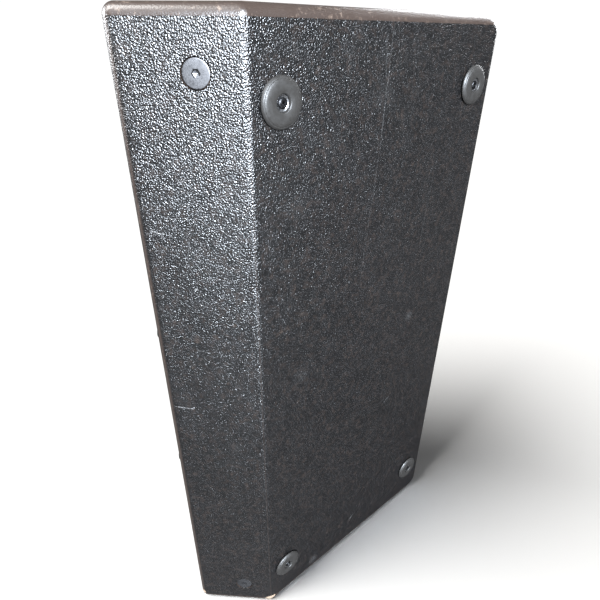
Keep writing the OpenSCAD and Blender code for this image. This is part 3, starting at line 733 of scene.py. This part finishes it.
def foot_profile():
    """A moulded foot: undercut rim, rounded shoulder with a mould line, flat top, screw well."""
    rim = FOOT_H - 0.0033
    points = [(FOOT_HOLE_R, 0.0), (FOOT_R - 0.0025, 0.0)]
    points += [(FOOT_R - 0.0003, rim - 0.0004), (FOOT_R, rim)]
    points += [(FOOT_R - 0.0001, rim + 0.0005), (FOOT_R - 0.0005, rim + 0.0010),
               (FOOT_R - 0.0010, rim + 0.0017), (FOOT_R - 0.0018, rim + 0.0023)]
    points += [(FOOT_R - 0.0021, rim + 0.00225), (FOOT_R - 0.0023, rim + 0.0025)]
    points += [(FOOT_R - 0.0034, FOOT_H - 0.0004), (FOOT_R - 0.0050, FOOT_H - 0.0001)]
    points += [(0.011, FOOT_H), (FOOT_WELL_R + 0.0010, FOOT_H - 0.0001),
               (FOOT_WELL_R + 0.0003, FOOT_H - 0.0004), (FOOT_WELL_R, FOOT_H - 0.0010)]
    return points + [(FOOT_WELL_R, FOOT_SEAT), (FOOT_HOLE_R, FOOT_SEAT)]


def washer_profile():
    """A dished washer with rolled edges."""
    low, high, out = FOOT_SEAT, FOOT_SEAT + WASHER_T, FOOT_WELL_R - 0.0001
    return [(FOOT_HOLE_R, low), (out - 0.0003, low), (out, low + 0.0003), (out, high + 0.0004),
            (out - 0.0002, high + 0.0007), (out - 0.0006, high + 0.0007),
            (out - 0.0012, high + 0.0002), (out - 0.0018, high), (FOOT_HOLE_R, high)]


def pan_head(r, h, at=0.0):
    """Half outline of a pan head standing at a height."""
    return [(r - 0.0003, at), (r, at + 0.0003), (r, at + h * 0.45), (r * 0.93, at + h * 0.72),
            (r * 0.75, at + h * 0.90), (r * 0.45, at + h * 0.98), (0.0, at + h)]


def cross_cutter(r, depth, top, place, thick=0.0009):
    """Two crossed tapering blades, which leave a cross recess in a screw's head."""
    meshes, corners = [], ((1, 1), (-1, 1), (-1, -1), (1, -1))
    for turn in (0.0, 90.0):
        bm = bmesh.new()
        quads = ((r, thick / 2, top + 0.001), (r * 0.35, thick / 3, top - depth))
        rings = [[bm.verts.new((sx * x, sy * y, z)) for sx, sy in corners] for x, y, z in quads]
        bm.faces.new(rings[0])
        bm.faces.new(rings[1][::-1])
        for k in range(4):
            j = (k + 1) % 4
            bm.faces.new((rings[0][k], rings[1][k], rings[1][j], rings[0][j]))
        spin = Matrix.Rotation(math.radians(turn), 4, "Z")
        bmesh.ops.transform(bm, matrix=place @ spin, verts=bm.verts)
        meshes.append(mesh_of(bm, "blade"))
    return meshes


def joined(name, pieces):
    """One piece made of several of one material."""
    bm, material = bmesh.new(), pieces[0].data.materials[0]
    for piece in pieces:
        bm.from_mesh(piece.data)
    mesh = bpy.data.meshes.new(name)
    bm.to_mesh(mesh)
    bm.free()
    first = pieces[0]
    first.data, first.name = mesh, name
    mesh.materials.append(material)
    for piece in pieces[1:]:
        bpy.data.objects.remove(piece)
    return first


def screw(place, head_r, head_h, seat, shank_r, length, material, turn):
    """A pan-head screw with a cross recess, standing on its seat."""
    end = seat - length
    profile = [(0.0, end), (shank_r * 0.4, end), (shank_r, end + 0.003), (shank_r, seat)]
    profile += pan_head(head_r, head_h, seat)
    piece = new_piece("screw", lathe_mesh(profile, place, 40), material)
    turned = place @ Matrix.Rotation(math.radians(turn), 4, "Z")
    cut(piece, *cross_cutter(head_r * 0.62, head_h * 0.75, seat + head_h, turned))
    return piece


random.seed(7)
foot_screws, foot_washers = [], []
for foot in FEET:
    place = foot_place(foot)
    piece = new_piece(foot + "_rubber", lathe_mesh(foot_profile(), place, 96), "foot_rubber")
    sharpen(piece.data, 60)
    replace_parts(piece, foot)
    washer = new_piece("washer", lathe_mesh(washer_profile(), place, 64), "zinc_steel")
    foot_washers.append(washer)
    foot_screws.append(screw(place, FOOT_SCREW_HEAD_R, FOOT_SCREW_HEAD_H, FOOT_SEAT + WASHER_T,
                             FOOT_SCREW_R, FOOT_SCREW_L, "black_screws", random.uniform(0, 90)))
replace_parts(joined("foot_washers_dished", foot_washers), "foot_washers")
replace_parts(joined("foot_screws_cross", foot_screws), "foot_screws")


# ---------------------------------------------------------------- countersunk rigging plugs

PLUG_R, PLUG_SINK, SOCKET_R, SOCKET_DEEP = 0.010, 0.0005, 0.0034, 0.0038


def hex_cutter(place, r, depth):
    """A hexagon socket with a drilled point and a small lead-in."""
    profile = [(0.0, -depth - r * 0.35), (r, -depth), (r, 0.0001), (r * 1.12, 0.0006),
               (0.0, 0.0006)]
    return lathe_mesh(profile, place, 6)


for node in PLUGS:
    at = in_face(ON_REAR, middle(node))
    place = ON_REAR @ Matrix.Translation((at.x, at.y, -PLUG_SINK))
    profile = [(0.0, -0.016), (0.0035, -0.016), (0.005, -0.0145), (0.005, -0.0055),
               (PLUG_R - 0.0002, -0.0005), (PLUG_R, -0.0002), (PLUG_R - 0.0003, -0.00005),
               (PLUG_R - 0.0008, 0.0), (0.0, 0.0)]
    piece = new_piece(node + "_head", lathe_mesh(profile, place, 96), "plug_steel")
    cut(piece, hex_cutter(place, SOCKET_R, SOCKET_DEEP))
    sharpen(piece.data)
    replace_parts(piece, node)


# ---------------------------------------------------------------- pieces that follow the design

def merged(node):
    """A design piece's mesh with its loose corners joined."""
    bm = bmesh.new()
    bm.from_mesh(frame["nodes"][node].data)
    bmesh.ops.remove_doubles(bm, verts=bm.verts, dist=1e-6)
    return bm


def spans(node, face):
    """Low and high corners of each separate solid of a node, in a face's own frame."""
    bm, found, seen, back = merged(node), [], set(), face.inverted()
    for start in bm.verts:
        if start in seen:
            continue
        seen.add(start)
        stack, points = [start], []
        while stack:
            vert = stack.pop()
            points.append(back @ vert.co)
            for edge in vert.link_edges:
                other = edge.other_vert(vert)
                if other not in seen:
                    seen.add(other)
                    stack.append(other)
        found.append(tuple(Vector(pick(p[k] for p in points) for k in range(3))
                           for pick in (min, max)))
    bm.free()
    return found


BEVEL_SEGMENTS, BEVEL_ANGLE, MOULDED_EDGE, POLE_EDGE = 3, 35, 0.0006, 0.0004


def bevelled(node, width):
    """A moulded or cast piece: the design's own shape with its sharp edges rounded."""
    bm = merged(node)
    bmesh.ops.dissolve_limit(bm, angle_limit=math.radians(1.5), verts=bm.verts, edges=bm.edges)
    piece = new_piece(node + "_moulded", mesh_of(bm, node + "_moulded"), SLOT_OF[node])
    modifier = piece.modifiers.new("bevel", "BEVEL")
    modifier.width, modifier.segments = width, BEVEL_SEGMENTS
    modifier.limit_method, modifier.angle_limit = "ANGLE", math.radians(BEVEL_ANGLE)
    bake_modifiers(piece)
    sharpen(piece.data, 50)
    even_normals(piece)
    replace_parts(piece, node)


def flat_screw(place, head_r, top, shank_r, length, material, turn):
    """A countersunk screw with a cross recess."""
    cone, end = head_r - shank_r, top - length
    profile = [(0.0, end), (shank_r * 0.4, end), (shank_r, end + 0.003),
               (shank_r, top - cone - 0.0004), (head_r, top - 0.0004),
               (head_r - 0.0001, top - 0.0001), (head_r - 0.0004, top), (0.0, top)]
    piece = new_piece("screw", lathe_mesh(profile, place, 32), material)
    turned = place @ Matrix.Rotation(math.radians(turn), 4, "Z")
    cut(piece, *cross_cutter(head_r * 0.55, 0.0012, top, turned, 0.0008))
    return piece


def half_width(node, face):
    low, high = spans(node, face)[0]
    return (high.x - low.x) / 2


def screw_group(node, face, shank_r, head_h=0.0):
    """Cross-head screws where a node's solids are, flush heads if head_h is nothing."""
    made, head_r, material = [], half_width(node, face), SLOT_OF[node]
    for low, high in spans(node, face):
        place = face @ Matrix.Translation(((low.x + high.x) / 2, (low.y + high.y) / 2, 0))
        length, turn = high.z - low.z - head_h, random.uniform(0, 90)
        if head_h:
            seat = high.z - head_h
            made.append(screw(place, head_r, head_h, seat, shank_r, length, material, turn))
        else:
            made.append(flat_screw(place, head_r, high.z, shank_r, length, material, turn))
    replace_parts(joined(node + "_cross", made), node)


for node in ("handle_cup", "input_dish", "socket_in", "socket_link"):
    bevelled(node, MOULDED_EDGE)
bevelled("pole_socket", POLE_EDGE)
screw_group("handle_screws", ON_UPPER, 0.0020, 0.0024)
screw_group("input_screws", ON_UPPER, 0.0016, 0.0022)
screw_group("pole_screws", ON_BOTTOM, 0.0020)


def handle_bar():
    """A ribbed grip between two plain collars."""
    low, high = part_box("handle_bar")
    half, r = (high.z - low.z) / 2, min((high.x - low.x) / 2, 0.012)
    collar, waist, groove, ribs = 0.012, r - 0.0012, 0.0007, 19
    profile = [(0.0, -half), (r, -half), (r, -half + collar - 0.002), (waist, -half + collar)]
    step = (2 * half - 2 * collar) / ribs
    for k in range(ribs):
        start = -half + collar + k * step
        swell = 0.0006 * math.sin(math.pi * (k + 0.5) / ribs)
        body = waist + swell
        profile += [(body - groove, start + step * 0.10), (body, start + step * 0.28),
                    (body, start + step * 0.78), (body - groove, start + step * 0.95)]
    profile += [(waist, half - collar), (r, half - collar + 0.002), (r, half), (0.0, half)]
    place = Matrix.Translation(middle("handle_bar"))
    piece = new_piece("handle_grip", lathe_mesh(profile, place, 64), SLOT_OF["handle_bar"])
    sharpen(piece.data, 50)
    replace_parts(piece, "handle_bar")


handle_bar()


# ---------------------------------------------------------------- grille, foam and felt

GRILLE_PITCH, GRILLE_HOLE, GRILLE_BORDER = 0.0085, 0.0068, 0.014
GRILLE_T, FOLD_R, BOSS_R = 0.0015, 0.003, 0.0085
FOLD_STEPS, PAD_STEP, PAD_SKIN, PAD_UNEVEN, PAD_LUMPS = 4, 0.010, 0.93, 0.07, 22


def grille_mesh(w, l, deep, posts):
    """A folded tray of sheet steel with hexagonal holes; solid round the screws."""
    bm, corners, known = bmesh.new(), set(), {}
    cell_r, hole_r = GRILLE_PITCH / math.sqrt(3), GRILLE_HOLE / math.sqrt(3)
    columns, rows = int(w / GRILLE_PITCH), int(l / (GRILLE_PITCH * 0.866))
    most_x, most_y = w / 2 - GRILLE_BORDER - cell_r, l / 2 - GRILLE_BORDER - cell_r
    for j in range(-rows // 2, rows // 2 + 1):
        for i in range(-columns // 2, columns // 2 + 1):
            at = Vector((GRILLE_PITCH * (i + 0.5 * (j % 2)), GRILLE_PITCH * math.sqrt(3) / 2 * j))
            if abs(at.x) > most_x or abs(at.y) > most_y:
                continue
            if any((at - post).length < BOSS_R for post in posts):
                continue
            outer, inner = [], []
            for k in range(6):
                way = Vector((math.sin(math.radians(60 * k)), math.cos(math.radians(60 * k))))
                spot = at + cell_r * way
                key = (round(spot.x * 1e5), round(spot.y * 1e5))
                if key not in known:
                    known[key] = bm.verts.new((*spot, 0))
                    corners.add(known[key])
                outer.append(known[key])
                inner.append(bm.verts.new((*(at + hole_r * way), 0)))
            for k in range(6):
                m = (k + 1) % 6
                bm.faces.new((outer[m], outer[k], inner[k], inner[m]))
    edges = [e for e in bm.edges if len(e.link_faces) == 1 and set(e.verts) <= corners]
    loops = []
    for k in range(FOLD_STEPS + 2):
        a = math.radians(90 * min(k, FOLD_STEPS) / FOLD_STEPS)
        out, down = FOLD_R * math.sin(a), FOLD_R * (1 - math.cos(a)) if k <= FOLD_STEPS else deep
        wide, tall = w - 2 * FOLD_R + 2 * out, l - 2 * FOLD_R + 2 * out
        outline = rounded_rectangle(wide, tall, 0.0015 + out, 4)
        loops.append([bm.verts.new((*p, -down)) for p in outline])
    rim = loops[0]
    edges += [bm.edges.new((rim[k], rim[(k + 1) % len(rim)])) for k in range(len(rim))]
    bmesh.ops.triangle_fill(bm, use_beauty=True, edges=edges)
    for a, b in zip(loops, loops[1:]):
        for k in range(len(a)):
            m = (k + 1) % len(a)
            bm.faces.new((a[k], b[k], b[m], a[m]))
    bmesh.ops.recalc_face_normals(bm, faces=bm.faces)
    flat = [f for f in bm.faces if abs(f.normal.z) > 0.9]
    if sum(f.normal.z * f.calc_area() for f in flat) < 0:
        bmesh.ops.reverse_faces(bm, faces=bm.faces)
    mesh = bpy.data.meshes.new("grille")
    bm.to_mesh(mesh)
    bm.free()
    return mesh


def grille():
    low, high = spans("grille_sheet", ON_FRONT)[0]
    at = Matrix.Translation(((low.x + high.x) / 2, (low.y + high.y) / 2, high.z))
    centre = Vector(((low.x + high.x) / 2, (low.y + high.y) / 2))
    posts = []
    for a, b in spans("grille_screws", ON_FRONT):
        posts.append(Vector(((a.x + b.x) / 2, (a.y + b.y) / 2)) - centre)
    mesh = grille_mesh(high.x - low.x, high.y - low.y, high.z - low.z, posts)
    mesh.transform(ON_FRONT @ at)
    piece = new_piece("grille_perforated", mesh, SLOT_OF["grille_sheet"])
    modifier = piece.modifiers.new("sheet", "SOLIDIFY")
    modifier.thickness, modifier.offset, modifier.use_even_offset = GRILLE_T, -1, True
    bake_modifiers(piece)
    sharpen(piece.data, 40)
    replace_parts(piece, "grille_sheet")


def pad_mesh(low, high, place, soft):
    """A slab of soft material: rounded rim and a slightly uneven skin."""
    def stations(start, end):
        ease = [soft * t for t in (0.0, 0.12, 0.4, 1.0)]
        count = max(1, round((end - start - 2 * soft) / PAD_STEP))
        inner = [start + soft + (end - start - 2 * soft) * k / count for k in range(1, count)]
        return [start + e for e in ease] + inner + [end - e for e in reversed(ease)]

    bm, grid = bmesh.new(), {}
    xs, ys = stations(low.x, high.x), stations(low.y, high.y)
    mid, half = (low.z + high.z) / 2, (high.z - low.z) / 2
    for i, x in enumerate(xs):
        for j, y in enumerate(ys):
            near = min(x - low.x, high.x - x, y - low.y, high.y - y)
            fall = math.sqrt(max(0.0, 1 - (1 - min(near / soft, 1.0)) ** 2))
            spot = Vector((x * PAD_LUMPS, y * PAD_LUMPS, 3.1))
            uneven = PAD_SKIN + PAD_UNEVEN * noise.noise(spot)
            for side in (1, -1):
                if fall == 0.0 and side == -1:
                    grid[i, j, side] = grid[i, j, 1]
                    continue
                lift = half * fall * (uneven if side == 1 else 1.0) * side
                grid[i, j, side] = bm.verts.new((x, y, mid + lift))
    for i in range(len(xs) - 1):
        for j in range(len(ys) - 1):
            for side in (1, -1):
                loop = [grid[i, j, side], grid[i + 1, j, side], grid[i + 1, j + 1, side],
                        grid[i, j + 1, side]]
                loop = list(dict.fromkeys(loop[::side]))
                if len(loop) > 2:
                    bm.faces.new(loop)
    bmesh.ops.transform(bm, matrix=place, verts=bm.verts)
    return mesh_of(bm, "pad")


def pads(node, face, soft, holes=()):
    """Builds a node's slabs of foam or felt as one padded piece."""
    made = []
    for low, high in spans(node, face):
        piece = new_piece(node + "_soft", pad_mesh(low, high, face, soft), SLOT_OF[node])
        made.append(piece)
    piece = joined(node + "_soft", made) if len(made) > 1 else made[0]
    if holes:
        cut(piece, *holes)
    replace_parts(piece, node)


grille()
screw_group("grille_screws", ON_FRONT, 0.0017)
FOAM_DEEP = 0.03
spacer_r = half_width("grille_spacers", ON_FRONT) + 0.0004
foam_holes = []
for low, high in spans("grille_spacers", ON_FRONT):
    at = ON_FRONT @ Matrix.Translation(((low.x + high.x) / 2, (low.y + high.y) / 2, 0))
    hole = [(0, -FOAM_DEEP), (spacer_r, -FOAM_DEEP), (spacer_r, 0), (0, 0)]
    foam_holes.append(lathe_mesh(hole, at, 24))
pads("grille_foam", ON_FRONT, 0.002, foam_holes)
pads("felt_rear", ON_REAR, 0.004)
pads("felt_ends", Matrix.Identity(4), 0.004)


# ---------------------------------------------------------------- stage and lights

# Lamps: name, place, target, size in metres, watts, colour
LAMPS = (
    ("window", (-1.20, 2.10, 1.485), (0.0, 0.1, 0.60), (1.2, 1.0), 560, (0.82, 0.90, 1.0)),
    ("front_fill", (-1.0, -2.5, 1.5), (0.0, 0.0, 0.35), (1.6, 1.2), 130, (0.95, 0.97, 1.0)),
    ("side_fill", (2.5, 0.2, 1.3), (0.1, 0.0, 0.35), (1.4, 1.2), 120, (0.95, 0.97, 1.0)),
)
SUN_STRENGTH, SUN_ANGLE, SUN_COLOUR, SUN_FROM = 4.6, 34, (1.0, 0.99, 0.97), (0.49, 0.36, 0.78)
# What the floor and the world are to the camera, and what they are to everything else
FLOOR_DIM, FLOOR_LOW, FLOOR_HIGH = (0.16, 0.16, 0.165), (0.87, 0.87, 0.87), (0.89, 0.89, 0.89)
WORLD_DIM, WORLD_SEEN = 0.12, 1.05

floor_mesh = bpy.data.meshes.new("floor")
bm = bmesh.new()
bmesh.ops.create_grid(bm, x_segments=1, y_segments=1, size=6.0)
bm.to_mesh(floor_mesh)
bm.free()
floor = bpy.data.objects.new("floor", floor_mesh)
bpy.context.scene.collection.objects.link(floor)
floor.location.z = LOW.z - 0.0002
n = Nodes("pale_floor")
n.set("Roughness", 0.9)
n.set("Specular IOR Level", 0.0)
seen = n.add("ShaderNodeLightPath").outputs["Is Camera Ray"]
paper = n.mix(n.noise(2.0), FLOOR_LOW, FLOOR_HIGH)
n.finish(n.mix(seen, FLOOR_DIM, paper))
floor_mesh.materials.append(n.material)

# The lamps light the object and not the floor, whose white and shadow come from the sun alone
lit = bpy.data.collections.new("lit")
for thing in bpy.data.objects:
    if thing.type == "MESH" and thing != floor:
        lit.objects.link(thing)


def area_light(name, place, target, size, power, colour):
    data = bpy.data.lights.new(name, "AREA")
    data.shape = "RECTANGLE"
    data.size, data.size_y = size
    data.energy = power
    data.color = colour
    light = bpy.data.objects.new(name, data)
    bpy.context.scene.collection.objects.link(light)
    light.light_linking.receiver_collection = lit
    light.location = place
    light.rotation_euler = (Vector(target) - Vector(place)).to_track_quat("-Z", "Y").to_euler()


sun_data = bpy.data.lights.new("sun", "SUN")
sun_data.energy = SUN_STRENGTH
sun_data.angle = math.radians(SUN_ANGLE)
sun_data.color = SUN_COLOUR
sun = bpy.data.objects.new("sun", sun_data)
bpy.context.scene.collection.objects.link(sun)
sun.rotation_euler = Vector(SUN_FROM).to_track_quat("Z", "Y").to_euler()
for lamp in LAMPS:
    area_light(*lamp)
world = bpy.data.worlds.new("studio")
bpy.context.scene.world = world
world.use_nodes = True
sky = world.node_tree
paths = sky.nodes.new("ShaderNodeLightPath")
strength = sky.nodes.new("ShaderNodeMapRange")
strength.inputs["To Min"].default_value = WORLD_DIM
strength.inputs["To Max"].default_value = WORLD_SEEN
sky.links.new(paths.outputs["Is Camera Ray"], strength.inputs["Value"])
sky.links.new(strength.outputs["Result"], sky.nodes["Background"].inputs["Strength"])
sky.nodes["Background"].inputs["Color"].default_value = (1.0, 1.0, 1.0, 1)
bpy.context.scene.view_settings.view_transform = "Standard"
